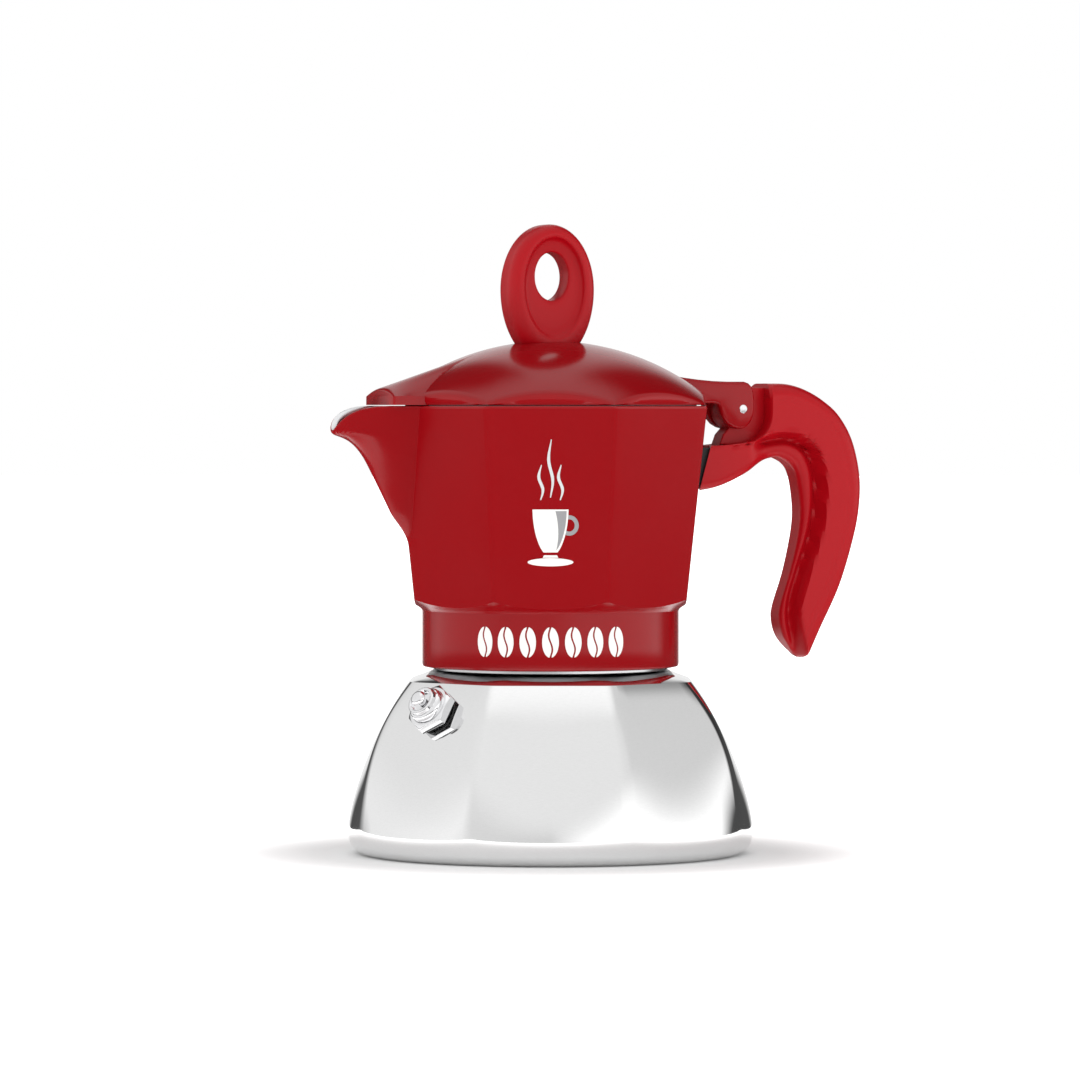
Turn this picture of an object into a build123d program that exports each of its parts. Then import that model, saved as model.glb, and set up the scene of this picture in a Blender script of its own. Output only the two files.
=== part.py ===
"""Moka pot: octagonal collector with lid and handle, screwed onto a bell-shaped boiler.

Millimetres, +Z up.  The origin is the centre of the boiler's underside, the spout points to -X and the
handle to +X, so XZ is the plane of symmetry.  Octagons have a corner on +X.
"""
from build123d import *
from math import cos, radians, sin
import os

# ---------------------------------------------------------------- driving dimensions
SIDES = 8
HALF_SIDE_ANGLE = 180 / SIDES

# boiler: height, distance of each facet from the axis, and how far the octagon has taken over from the circle
BELL = [
    (0.0, 46.0, 0.03),
    (1.2, 48.7, 0.03),
    (3.2, 50.2, 0.03),
    (6.0, 50.6, 0.03),
    (13.5, 49.2, 0.30),
    (21.0, 47.0, 0.60),
    (28.5, 43.9, 0.85),
    (36.0, 39.9, 1.00),
    (40.3, 37.2, 1.00),
    (43.4, 34.9, 0.90),
    (46.0, 29.6, 0.40),
]
CORNER_SHRINK = 0.91
JACKET_WALL = 0.8
LINER_WALL = 1.6
LINER_GAP = 0.05
NECK_R = 28.6
NECK_BORE_R = 24.6
NECK_TOP = 57.0

# ground-coffee funnel standing in the neck
PLAY = 0.05
FUNNEL_R = 24.2
SHEET = 0.8
FLANGE_R = 27.6
CUP_FLOOR = 38.0
CONE_BOTTOM = 30.0
STEM_R = 4.0
STEM_BORE_R = 3.2
STEM_BOTTOM = 7.0

# seal and filter under the collector
FLANGE_TOP = NECK_TOP + PLAY + SHEET
GASKET_R = 27.2
GASKET_BORE_R = 21.5
GASKET_H = 2.5
GASKET_TOP = FLANGE_TOP + PLAY + GASKET_H
PLATE_R = 27.0
PLATE_H = 0.6
PLATE_TOP = GASKET_TOP + PLAY + PLATE_H
HOLE_R = 0.75

# collector
BAND_BOTTOM = 46.7
BAND_TOP = 61.0
BAND_R = 32.1
SOCKET_R = 29.0
SEAT_R = 27.5
RIM = 111.8
CAN_TOP_APOTHEM = 38.8
CAN_LOW = 62.0
CAN_LOW_APOTHEM = 33.6
CAN_WALL = 2.0
CAN_ROUNDING = 2.0
FLOOR = 65.6
COLUMN_TOP = 98.0
COLUMN_BORE_R = 3.2

# lid
DOME_R = 62.4
DOME_TOP = 128.0
LID_APOTHEM = 38.3
LID_BOTTOM = 112.15
LID_WALL = 1.6
BEAK_EDGE = 113.9
LIP_H = 1.1
LIP_APOTHEM = 36.2

# hinge
PIN_X = 50.2
PIN_Z = 111.0
PIN_R = 1.25
ARM_HALF_WIDTH = 6.0
TONGUE_HALF_WIDTH = 2.8
FORK_HALF_GAP = 3.1
POCKET_R = 7.4
POCKET_X = 49.9
POCKET_Z = 109.6

# handle
HANDLE_HALF_WIDTH = 7.3
HANDLE_INNER_HALF_WIDTH = 4.2
ROOT_X = 36.0
ROOT_LOW = 90.2
ROOT_TOP = 101.6
PAD_HALF_WIDTH = 6.2
PAD_LOW = 91.5
KNUCKLE_R = 5.4
SCREW_Z = 97.5
SCREW_R = 2.0

# knob
KNOB_X = -0.9
KNOB_CENTRE = 140.0
KNOB_HALF_WIDTH = 11.7
KNOB_HALF_HEIGHT = 17.1
KNOB_HALF_THICKNESS = 5.25
KNOB_HOLE_CENTRE = 144.1

# safety valve, on the facet beside the spout
VALVE_TURN = 180 + HALF_SIDE_ANGLE
VALVE_RISE = 33.0
VALVE_R = 39.6
VALVE_Z = 36.3
WASHER_LOW = 0.3
HEX_LOW = 1.0
HEX_HIGH = 3.4
HEX_ACROSS_FLATS = 11.2


# ---------------------------------------------------------------- helpers
def turned(points):
    """Solid turned about Z from (radius, height) points."""
    outline = Plane.XZ * make_face(Polyline([*points, points[0]]))
    return revolve(outline, Axis.Z)


def tube(outer_r, inner_r, low, high):
    """Upright ring with a round bore."""
    return turned([(inner_r, low), (outer_r, low), (outer_r, high), (inner_r, high)])


def rod(radius, low, high):
    """Upright round bar."""
    return turned([(0, low), (radius, low), (radius, high), (0, high)])


def octagon(apothem, rounding, height):
    """Level octagon with rounded corners, one of them on +X."""
    outline = RegularPolygon(apothem, SIDES, major_radius=False)
    return Pos(0, 0, height) * fillet(outline.vertices(), rounding)


def side_profile(points, half_width):
    """Solid between -Y and +Y from a closed outline of (x, z) points."""
    outline = Plane.XZ * make_face(Polyline([*points, points[0]]))
    return extrude(outline, half_width, both=True)


def side_block(x_low, x_high, half_width, z_low, z_high):
    """Box centred on the plane of symmetry."""
    corners = [(x_low, z_low), (x_high, z_low), (x_high, z_high), (x_low, z_high)]
    return side_profile(corners, half_width)


def cross_rod(radius, x, z, half_length):
    """Round bar along Y."""
    return Pos(x, 0, z) * Rot(90, 0, 0) * Cylinder(radius, 2 * half_length)


def long_rod(radius, x_low, x_high, z):
    """Round bar along X."""
    middle = (x_low + x_high) / 2
    return Pos(middle, 0, z) * Rot(0, 90, 0) * Cylinder(radius, x_high - x_low)


def hole_rings(rings, spacing, low, high):
    """Upright drills in concentric rings about the axis."""
    drills = []
    for ring in range(1, rings + 1):
        for place in PolarLocations(ring * spacing, 6 * ring):
            drills.append(place * Pos(0, 0, (low + high) / 2) * Cylinder(HOLE_R, high - low))
    return drills


# ---------------------------------------------------------------- boiler
def bell(inset):
    """Outer form of the boiler, drawn in by inset on every side."""
    sections = []
    for height, apothem, octagonal in BELL:
        level = max(height - inset, inset + height * 0.5) if height > 6 else height + inset
        size = apothem - inset
        sections.append(octagon(size, size * (1 - CORNER_SHRINK * octagonal), level))
    return loft(sections, ruled=True)


def boiler_jacket():
    """Polished steel skin, open at the top round the neck."""
    opening = rod(NECK_R + LINER_GAP, 40, 50)
    return bell(0) - bell(JACKET_WALL) - opening - valve_way()


def boiler_liner():
    """Aluminium water vessel with the neck that carries the thread."""
    neck = rod(NECK_R, 41.0, NECK_TOP)
    vessel = bell(JACKET_WALL + LINER_GAP) + neck
    return vessel - bell(JACKET_WALL + LINER_WALL) - rod(NECK_BORE_R, 38, NECK_TOP + 1) - valve_way()


# ---------------------------------------------------------------- safety valve
def valve_place():
    """Local frame of the valve: its Z leaves the boiler wall at right angles."""
    x = VALVE_R * cos(radians(VALVE_TURN))
    y = VALVE_R * sin(radians(VALVE_TURN))
    return Pos(x, y, VALVE_Z) * Rot(0, 0, VALVE_TURN) * Rot(0, 90 - VALVE_RISE, 0)


def hexagon(low, high, across_flats=HEX_ACROSS_FLATS):
    """Hexagonal block with its corners turned off."""
    blank = extrude(Pos(0, 0, low) * RegularPolygon(across_flats / 2, 6, major_radius=False), high - low)
    corner_r = across_flats * 0.56
    dome = turned([(0, low), (corner_r, low), (corner_r, high - 0.3), (corner_r - 0.6, high), (0, high)])
    return blank & dome


def valve_way():
    """Hole through the boiler wall for the valve's shank."""
    return valve_place() * rod(4.05, -8, 3)


def valve_washer():
    """Black sealing washer between the boiler wall and the valve."""
    return valve_place() * tube(5.3, 4.05, WASHER_LOW, HEX_LOW)


def valve_body():
    """Valve housing: inlet, spring chamber, hexagon, stepped nose and the shank that passes the wall."""
    nose = turned([
        (0, HEX_HIGH), (4.6, HEX_HIGH), (4.6, 4.5), (4.2, 5.1), (3.75, 5.1), (3.75, 6.5), (0, 6.5),
    ])
    shank = rod(4.0, -6.8, HEX_LOW)
    recess = tube(2.9, 1.2, 5.3, 7)
    chamber = rod(2.6, -4.6, 4.2)
    inlet = rod(1.5, -7, -4.6)
    pin_way = rod(1.05, 4.2, 7)
    return valve_place() * (hexagon(HEX_LOW, HEX_HIGH) + nose + shank - recess - chamber - inlet - pin_way)


def valve_nut():
    """Nut that clamps the valve from inside the boiler."""
    return valve_place() * (hexagon(-6.3, -3.9, 10.0) - rod(4.05, -7, 0))


def valve_piston():
    """Plug and rod that lift off the inlet under pressure, with the head that stands out of the nose."""
    profile = [
        (0, -4.0), (2.2, -4.0), (2.2, -3.0), (1.0, -3.0), (1.0, 6.8), (1.7, 6.8), (2.0, 7.2), (1.7, 8.0),
        (1.1, 8.3), (0, 8.3),
    ]
    return valve_place() * turned(profile)


def valve_seal():
    """Silicone disc under the plug."""
    return valve_place() * rod(2.2, -4.55, -4.0)


def valve_spring():
    """Coil spring between the plug and the nose."""
    wire_r = 0.25
    coil_r = 1.75
    height = 6.3
    path = Helix(pitch=height / 5, height=height, radius=coil_r)
    section = Plane(origin=path @ 0, z_dir=path % 0) * Circle(wire_r)
    return valve_place() * Pos(0, 0, -2.6) * sweep(section, path=path)


# ---------------------------------------------------------------- funnel, gasket and filter plate
def funnel_cup():
    """Coffee cup with its flange on the neck and its cone down to the stem."""
    low = NECK_TOP + PLAY
    stem = STEM_R + PLAY
    profile = [
        (FUNNEL_R - SHEET, FLANGE_TOP), (FLANGE_R, FLANGE_TOP), (FLANGE_R, low), (FUNNEL_R, low),
        (FUNNEL_R, CUP_FLOOR - 1.5), (FUNNEL_R - 1.5, CUP_FLOOR - 3.0), (stem + SHEET, CONE_BOTTOM),
        (stem + SHEET, CONE_BOTTOM - 3), (stem, CONE_BOTTOM - 3), (stem, CONE_BOTTOM + 1.0),
        (FUNNEL_R - SHEET - 2.0, CUP_FLOOR - 2.0), (FUNNEL_R - SHEET - 2.0, CUP_FLOOR),
        (FUNNEL_R - SHEET, CUP_FLOOR),
    ]
    return turned(profile)


def funnel_stem():
    """Tube that draws the water up from the bottom of the boiler."""
    return tube(STEM_R, STEM_BORE_R, STEM_BOTTOM, CONE_BOTTOM + 0.5)


def funnel_screen():
    """Perforated disc that the ground coffee lies on."""
    disc = rod(FUNNEL_R - SHEET - PLAY, CUP_FLOOR + PLAY, CUP_FLOOR + PLAY + 0.6)
    return disc - hole_rings(4, 4.6, CUP_FLOOR - 1, CUP_FLOOR + 2)


def gasket():
    """Sealing ring between the funnel's flange and the collector."""
    return tube(GASKET_R, GASKET_BORE_R, GASKET_TOP - GASKET_H, GASKET_TOP)


def filter_plate():
    """Upper filter, a perforated disc held in the collector by the gasket."""
    low = GASKET_TOP + PLAY
    return rod(PLATE_R, low, PLATE_TOP) - hole_rings(4, 4.4, low - 1, PLATE_TOP + 1)


# ---------------------------------------------------------------- collector
def can_apothem(height):
    """Distance of the collector's facets from the axis at a height."""
    share = (height - CAN_LOW) / (RIM - CAN_LOW)
    return CAN_LOW_APOTHEM + share * (CAN_TOP_APOTHEM - CAN_LOW_APOTHEM)


def can(inset, low, high):
    """Tapered octagonal block of the collector, drawn in by inset."""
    lower = octagon(can_apothem(low) - inset, CAN_ROUNDING, low)
    upper = octagon(can_apothem(high) - inset, CAN_ROUNDING, high)
    return loft([lower, upper], ruled=True)


# spout stations: x, height of the keel, height of the rim, half-width at the rim
SPOUT = [
    (-35.0, 72.0, RIM, 8.6),
    (-38.3, 78.6, RIM, 8.8),
    (-43.1, 88.6, RIM, 7.7),
    (-48.0, 98.6, RIM, 6.3),
    (-49.8, 101.5, 111.6, 5.7),
    (-51.3, 103.0, 111.3, 5.2),
    (-53.6, 104.3, 110.8, 4.9),
    (-55.8, 104.9, 109.4, 4.2),
    (-57.5, 105.3, 107.4, 2.8),
    (-58.1, 105.6, 106.4, 1.6),
]
# the same for its hollow: x, floor, half-width at the top
SPOUT_HOLLOW = [
    (-32.0, 76.0, 6.8),
    (-36.6, 79.0, 6.8),
    (-41.8, 89.0, 5.9),
    (-46.8, 98.6, 4.8),
    (-49.4, 101.8, 4.2),
    (-52.4, 103.8, 3.6),
    (-55.8, 105.0, 2.9),
    (-60.0, 106.4, 1.6),
]


def spout_section(x, keel, top, half_width):
    """Upright section across the spout at x: a rounded V."""
    height = top - keel
    outline = [
        (half_width, top), (half_width * 0.72, keel + height * 0.45), (half_width * 0.38, keel + height * 0.08),
        (half_width * 0.2, keel),
    ]
    mirrored = [(-across, up) for across, up in reversed(outline)]
    points = [Vector(x, across, up) for across, up in [*outline, *mirrored]]
    return make_face(Polyline([*points, points[0]]))


def spout():
    """Outer block of the spout."""
    return loft([spout_section(*station) for station in SPOUT], ruled=True)


def spout_hollow():
    """Channel of the spout, open at the top and through the lip."""
    above = RIM + 4
    return loft([spout_section(x, floor, above, width) for x, floor, width in SPOUT_HOLLOW], ruled=True)


def collector_outside():
    """Outside of the collector: tapered can, scalloped lower edge and round band."""
    corner = can_apothem(RIM) * 1.1
    turning = turned([
        (0, BAND_BOTTOM), (BAND_R - 0.6, BAND_BOTTOM), (BAND_R, BAND_BOTTOM + 0.6), (BAND_R, BAND_TOP),
        (32.7, 62.0), (34.0, 63.2), (37.2, 64.6), (corner, 66.5), (corner, RIM), (0, RIM),
    ])
    return turning & (can(0, BAND_TOP, RIM) + rod(BAND_R + 0.1, BAND_BOTTOM - 1, BAND_TOP + 0.6))


def column():
    """Coffee column: tapered tube with a closed cap and two side slots."""
    return turned([
        (0, FLOOR - 1), (8.5, FLOOR - 1), (8.5, FLOOR), (7.4, FLOOR + 2), (5.4, COLUMN_TOP - 1.5),
        (4.6, COLUMN_TOP - 0.3), (3.8, COLUMN_TOP), (0, COLUMN_TOP),
    ])


def collector_body():
    """Cast body: chamber, coffee column, spout, threaded band and the seat for gasket and filter."""
    seat_top = PLATE_TOP + PLAY
    inside = turned([(0, FLOOR), (30.5, FLOOR), (45, FLOOR + 5), (45, RIM + 1), (0, RIM + 1)])
    hollow = can(CAN_WALL, FLOOR, RIM + 1) & inside
    shell = collector_outside() + spout() - hollow - spout_hollow()
    boss = long_rod(4.6, 36.4, 39.6, SCREW_Z) & can(1, 85, RIM)
    shell = shell + column() + boss
    shell = shell - rod(SOCKET_R, BAND_BOTTOM - 1, GASKET_TOP - GASKET_H)
    shell = shell - rod(SEAT_R, BAND_BOTTOM, seat_top) - rod(20.5, BAND_BOTTOM, seat_top + 1.2)
    shell = shell - rod(COLUMN_BORE_R, BAND_BOTTOM, COLUMN_TOP - 3)
    slots = side_block(-1.3, 1.3, 9, COLUMN_TOP - 8.5, COLUMN_TOP - 3)
    return shell - slots - long_rod(SCREW_R + PLAY, 30, 45, SCREW_Z)


# ---------------------------------------------------------------- lid
def dome(inset):
    """Octagonal lid block under a spherical top, drawn in by inset."""
    ball = Pos(0, 0, DOME_TOP - DOME_R) * Sphere(DOME_R - inset)
    skirt = loft([octagon(LID_APOTHEM - 0.35 - inset, CAN_ROUNDING, LID_BOTTOM),
                  octagon(LID_APOTHEM + 0.3 - inset, CAN_ROUNDING, 113.9)], ruled=True)
    upper = loft([octagon(LID_APOTHEM + 0.3 - inset, CAN_ROUNDING, 113.9),
                  octagon(LID_APOTHEM - inset, CAN_ROUNDING, DOME_TOP + 1)], ruled=True)
    return ball & (skirt + upper)


# beak stations: x, height of the ridge, half-width
BEAK = [
    (-46.9, 114.9, 7.0),
    (-37.7, 118.3, 9.8),
    (-30.0, 121.0, 10.6),
    (-21.0, 124.3, 11.2),
]


def beak_section(x, ridge, half_width, inset):
    """Upright section across the beak: an arched roof on two sides."""
    half = half_width - inset
    edge = BEAK_EDGE - inset
    roof = ThreePointArc((x, half, edge), (x, 0, ridge - inset), (x, -half, edge))
    foot = Polyline((x, -half, edge), (x, -half, LID_BOTTOM), (x, half, LID_BOTTOM), (x, half, edge))
    return make_face([roof, foot])


def beak(inset):
    """Arched cover over the spout, widening and rising towards the dome."""
    first = (BEAK[0][0] + inset, BEAK[0][1] + 0.37 * inset, BEAK[0][2] + 0.3 * inset)
    return loft([beak_section(*station, inset) for station in [first, *BEAK[1:]]], ruled=True)


def lip():
    """Ring under the lid that centres it in the mouth of the collector, open towards the spout."""
    low = LID_BOTTOM - LIP_H
    high = LID_BOTTOM + 0.7
    guide = loft([octagon(LIP_APOTHEM, CAN_ROUNDING, low), octagon(LIP_APOTHEM, CAN_ROUNDING, high)], ruled=True)
    seat = loft([octagon(LIP_APOTHEM + 0.8, CAN_ROUNDING, LID_BOTTOM),
                 octagon(LIP_APOTHEM + 0.8, CAN_ROUNDING, high)], ruled=True)
    bore = loft([octagon(LIP_APOTHEM - 1.2, CAN_ROUNDING, low - 1),
                 octagon(LIP_APOTHEM - 1.2, CAN_ROUNDING, high + 1)], ruled=True)
    return guide + seat - bore - side_block(-60, -30, 9.6, 100, 120)


def lid_arm():
    """Arm and fork that carry the lid on the hinge pin."""
    outline = [
        (30, 114.6), (30, 119.0), (38, 118.3), (44, 117.9), (51.0, 117.9), (52.2, 117.2), (53.1, 115.6),
        (53.4, 113.0), (53.2, 109.8), (52.4, 107.6), (51.0, 106.2), (48.8, 105.9), (46.6, 106.6), (44.8, 108.4),
        (43.8, 110.6), (43.5, 112.4), (38, 112.4), (36, 114.6),
    ]
    arm = side_profile(outline, ARM_HALF_WIDTH)
    fork_gap = side_block(43.4, 60, FORK_HALF_GAP, 100, 120)
    return arm - fork_gap - cross_rod(PIN_R + 0.06, PIN_X, PIN_Z, 10)


def lid():
    """Domed cover with its beak and hinge arm."""
    outside = dome(0) + beak(0) + lid_arm()
    inside = dome(LID_WALL) + beak(LID_WALL)
    return outside - inside + lip() - Pos(KNOB_X, 0, 0) * rod(SCREW_R + PLAY, 120, 130)


# ---------------------------------------------------------------- knob
def side_ellipse(half_width, half_height, z, depth):
    """Elliptical block through the plane of symmetry, 2 x depth thick."""
    return extrude(Plane.XZ * Pos(KNOB_X, z) * Ellipse(half_width, half_height), depth, both=True)


def knob():
    """Ring-shaped knob with a shallow dish on each face."""
    ring = side_ellipse(KNOB_HALF_WIDTH, KNOB_HALF_HEIGHT, KNOB_CENTRE, KNOB_HALF_THICKNESS)
    ring = fillet(ring.edges(), 2.8)
    foot = side_block(-18, 15, 10, 120, KNOB_CENTRE) & (Pos(0, 0, DOME_TOP - DOME_R) * Sphere(DOME_R + PLAY))
    ring = ring - foot - side_block(-18, 15, 10, 110, 127.0)
    ring = ring - side_ellipse(4.5, 6.05, KNOB_HOLE_CENTRE, 10)
    for side in (-1, 1):
        ring = ring - Pos(0, side * (KNOB_HALF_THICKNESS + 4.2), 0) * side_ellipse(7.7, 11.8, 141.2, 5)
    return ring - Pos(KNOB_X, 0, 0) * rod(SCREW_R + PLAY, 120, 136)


def knob_screw():
    """Screw that holds the knob from inside the lid."""
    under = DOME_TOP - LID_WALL
    return Pos(KNOB_X, 0, 0) * turned([
        (0, under - 3.0), (3.0, under - 3.0), (3.6, under - 2.2), (3.6, under - 0.9), (SCREW_R, under - 0.9),
        (SCREW_R, 135.5), (0, 135.5),
    ])


def knob_washer():
    """Washer under the knob's screw."""
    under = DOME_TOP - LID_WALL
    return Pos(KNOB_X, 0, 0) * tube(5.0, SCREW_R + PLAY, under - 0.9, under - 0.35)


# ---------------------------------------------------------------- hinge and handle
def hinge_pin():
    """Steel pin through the fork and the handle's tongue."""
    return cross_rod(PIN_R, PIN_X, PIN_Z, ARM_HALF_WIDTH - 0.2)


def handle_outline():
    """Side view of the handle: outer sweep, tip, inner sweep and the underside back to the root."""
    outer = Spline(
        (57.8, 117.5), (63.0, 117.3), (67.6, 116.1), (72.6, 113.5), (77.3, 109.8), (81.3, 103.3), (83.3, 94.9),
        (83.4, 87.5), (81.9, 79.0), (77.8, 66.3), (72.1, 55.0), (69.1, 48.3),
        tangents=[(1, 0), (-0.4, -1)],
    )
    tip = Spline((69.1, 48.3), (67.9, 47.5), (64.6, 50.4), (61.8, 55.7), (61.9, 61.4))
    inner = Spline(
        (61.9, 61.4), (64.9, 70.3), (67.2, 80.5), (67.4, 87.6), (65.8, 95.7), (62.3, 98.4), (55.0, 97.0),
        (48.1, 93.3), (42.5, 91.2), (ROOT_X, ROOT_LOW),
    )
    root = Polyline((ROOT_X, ROOT_LOW), (ROOT_X, PIN_Z + 5.6), (57.8, PIN_Z + 5.6), (57.8, 117.5))
    return make_face([outer, tip, inner, root])


def handle_step():
    """Side view of the zone along the inside of the hook where the handle is thinner."""
    line = Spline(
        (55.8, 104.2), (63.5, 105.2), (69.5, 102.1), (72.6, 95.7), (73.0, 87.6), (71.7, 79.4), (68.1, 69.3),
        (65.7, 61.2), (65.9, 55.6), (68.8, 46.9),
    )
    return make_face([line, Polyline((68.8, 46.9), (55.8, 46.9), (55.8, 104.2))])


def root_notch():
    """Octagonal cone that shapes the root of the handle to the corner of the collector."""
    return loft([octagon(can_apothem(88) + 0.5, CAN_ROUNDING, 88),
                 octagon(can_apothem(106) + 3.3, CAN_ROUNDING, 106)], ruled=True)


def handle():
    """Hooked handle, thinner along its inside, with the hinge tongue on top and a notched root."""
    blank = extrude(Plane.XZ * handle_outline(), HANDLE_HALF_WIDTH, both=True)
    thinning = extrude(Plane.XZ * handle_step(), 5, both=True)
    for side in (-1, 1):
        blank = blank - Pos(0, side * (HANDLE_INNER_HALF_WIDTH + 5), 0) * thinning
    blank = blank - root_notch() - cross_rod(POCKET_R, POCKET_X, POCKET_Z, 10)
    blank = blank - side_block(30, POCKET_X, 10, ROOT_TOP, 130)
    blank = blank - side_block(40, POCKET_X + POCKET_R, 10, POCKET_Z, 130)
    tongue = cross_rod(KNUCKLE_R, PIN_X, PIN_Z, TONGUE_HALF_WIDTH)
    tongue = tongue + side_block(PIN_X, 58, TONGUE_HALF_WIDTH, 101, PIN_Z + KNUCKLE_R - 0.2)
    tongue = tongue + side_block(PIN_X - KNUCKLE_R + 0.4, 58, TONGUE_HALF_WIDTH, 101, PIN_Z)
    blank = blank + tongue - cross_rod(PIN_R + 0.02, PIN_X, PIN_Z, 10)
    return blank - long_rod(SCREW_R + PLAY, 36, 53, SCREW_Z)


def handle_spacer():
    """Heat-resistant pad between the collector's corner and the handle."""
    block = side_block(34, 46, PAD_HALF_WIDTH, PAD_LOW, ROOT_TOP - 0.4)
    return (block & root_notch()) - can(-2 * PLAY, CAN_LOW, RIM) - long_rod(SCREW_R + PLAY, 30, 50, SCREW_Z)


def handle_screw():
    """Screw from inside the collector into the handle."""
    return long_rod(3.5, 34.2, 36.35, SCREW_Z) + long_rod(SCREW_R, 36.3, 52, SCREW_Z)


# ---------------------------------------------------------------- write the parts
NODES = [
    boiler_jacket, boiler_liner, valve_washer, valve_body, valve_nut, valve_piston, valve_seal,
    valve_spring, funnel_cup, funnel_stem, funnel_screen, gasket, filter_plate, collector_body, lid, knob,
    knob_screw, knob_washer, hinge_pin, handle, handle_spacer, handle_screw,
]
os.makedirs("parts", exist_ok=True)
for make in NODES:
    export_step(make(), f"parts/{make.__name__}.step")
    print(make.__name__)
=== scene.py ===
"""Looks of the moka pot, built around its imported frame.  Sizes are in millimetres until a mesh is made."""

import math

import bpy
import bmesh
import numpy as np
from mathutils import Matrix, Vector


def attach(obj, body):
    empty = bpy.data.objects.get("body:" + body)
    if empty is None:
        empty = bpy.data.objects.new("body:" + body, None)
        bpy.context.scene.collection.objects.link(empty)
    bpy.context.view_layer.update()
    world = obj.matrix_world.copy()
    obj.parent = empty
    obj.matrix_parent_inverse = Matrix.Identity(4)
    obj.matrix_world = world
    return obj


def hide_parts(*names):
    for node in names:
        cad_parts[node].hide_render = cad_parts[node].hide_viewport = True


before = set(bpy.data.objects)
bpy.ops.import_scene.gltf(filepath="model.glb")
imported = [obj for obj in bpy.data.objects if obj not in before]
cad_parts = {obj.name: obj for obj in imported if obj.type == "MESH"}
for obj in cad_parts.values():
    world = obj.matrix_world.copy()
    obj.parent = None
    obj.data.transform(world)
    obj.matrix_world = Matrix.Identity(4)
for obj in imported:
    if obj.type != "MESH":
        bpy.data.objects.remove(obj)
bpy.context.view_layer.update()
MM = 0.001

# ------------------------------------------------------------------ driving dimensions
CORNERS = 8
HALF_CORNER = math.radians(180 / CORNERS)
SPOUT_CORNER = 4

BELL_BASE_R = 46.0
BELL_R = 50.6
BELL_SHOULDER = (34.9, 43.4)
BELL_MOUTH = (29.4, 46.0)
JACKET_WALL = 0.8
LINER_WALL = 1.6
NECK_R = 28.6
NECK_BORE_R = 24.6
NECK_TOP = 57.0
THREAD_PITCH = 3.0
THREAD_DEPTH = 0.7

BAND_R = 32.1
BAND_LOW = 46.7
SOCKET_R = 29.0
SEAT_R = 27.5
SEAT_LOW = 57.9
SEAT_HIGH = 61.15
RECESS_R = 20.5
RECESS_HIGH = 62.35
BORE_R = 3.2
RIM = 111.8
CAN_LOW = 62.0
CAN_LOW_APOTHEM = 33.6
CAN_TOP_APOTHEM = 38.8
CAN_ROUNDING = 1.8
CAN_WALL = 2.0
LIP_WALL = 1.3
FLOOR = 65.6
COLUMN_TOP = 98.0

SPOUT_START = 76.5
SPOUT_REACH = 9.5

DOME_R = 62.4
DOME_TOP = 128.0
DOME_CENTRE = DOME_TOP - DOME_R
LID_LOW = 112.0
LID_APOTHEM = 38.3
LID_WALL = 1.6
BEAK_X = (-45.8, -21.0)
BEAK_RIDGE = (116.0, 124.4)
BEAK_HALF = (9.7, 9.7)
BEAK_EDGE = 114.2
LIP_APOTHEM = 36.2
LIP_LOW = 111.05

PIN_X = 50.2
PIN_Z = 111.0
PIN_R = 1.25
ARM_HALF = 6.0
FORK_HALF_GAP = 3.1
TONGUE_HALF = 2.8
KNUCKLE_R = 5.4
POCKET_X = 49.9
POCKET_Z = 109.6
POCKET_R = 7.4

HANDLE_HALF = 7.2
HANDLE_INNER_HALF = 4.2
ROOT_X = 36.0
ROOT_TOP = 101.6

KNOB_THICK = 10.5
KNOB_LOW = 127.0


# ------------------------------------------------------------------ mesh helpers
def smoothstep(low, high, value):
    """0 below low, 1 above high, smooth between; works on arrays."""
    share = np.clip((np.asarray(value, float) - low) / (high - low), 0, 1)
    return share * share * (3 - 2 * share)


def bezier(points, count):
    """Points along a cubic Bezier curve."""
    p = np.array(points, float)
    t = np.linspace(0, 1, count)[:, None]
    return (1 - t) ** 3 * p[0] + 3 * (1 - t) ** 2 * t * p[1] + 3 * (1 - t) * t * t * p[2] + t**3 * p[3]


def smooth_line(points, count):
    """Evenly spaced points on a smooth line through given points."""
    p = np.array(points, float)
    before = 2 * p[0] - p[1]
    after = 2 * p[-1] - p[-2]
    q = np.vstack([before, p, after])
    line = []
    for i in range(1, len(q) - 2):
        t = np.linspace(0, 1, 24, endpoint=False)[:, None]
        line.append(0.5 * (2 * q[i] + (q[i + 1] - q[i - 1]) * t
                           + (2 * q[i - 1] - 5 * q[i] + 4 * q[i + 1] - q[i + 2]) * t**2
                           + (3 * q[i] - q[i - 1] - 3 * q[i + 1] + q[i + 2]) * t**3))
    line = np.vstack([*line, p[-1:]])
    return resample(line, count)


def resample(line, count):
    """The same line with evenly spaced points."""
    line = np.array(line, float)
    steps = np.linalg.norm(np.diff(line, axis=0), axis=1)
    along = np.concatenate([[0], np.cumsum(steps)])
    wanted = np.linspace(0, along[-1], count)
    return np.stack([np.interp(wanted, along, line[:, k]) for k in range(line.shape[1])], axis=1)


def make_object(name, vertices, faces, sharp_deg=32, face_slots=None):
    """Mesh object from millimetre vertices, faces turned outwards and shaded smooth up to an angle."""
    mesh = bpy.data.meshes.new(name)
    mesh.from_pydata([tuple(v) for v in np.asarray(vertices) * MM], [], faces)
    if face_slots is not None:
        mesh.polygons.foreach_set("material_index", face_slots)
    work = bmesh.new()
    work.from_mesh(mesh)
    bmesh.ops.remove_doubles(work, verts=work.verts, dist=1e-7)
    bmesh.ops.recalc_face_normals(work, faces=work.faces)
    work.to_mesh(mesh)
    work.free()
    mesh.shade_smooth()
    mesh.set_sharp_from_angle(angle=math.radians(sharp_deg))
    piece = bpy.data.objects.new(name, mesh)
    bpy.context.scene.collection.objects.link(piece)
    return piece


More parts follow.
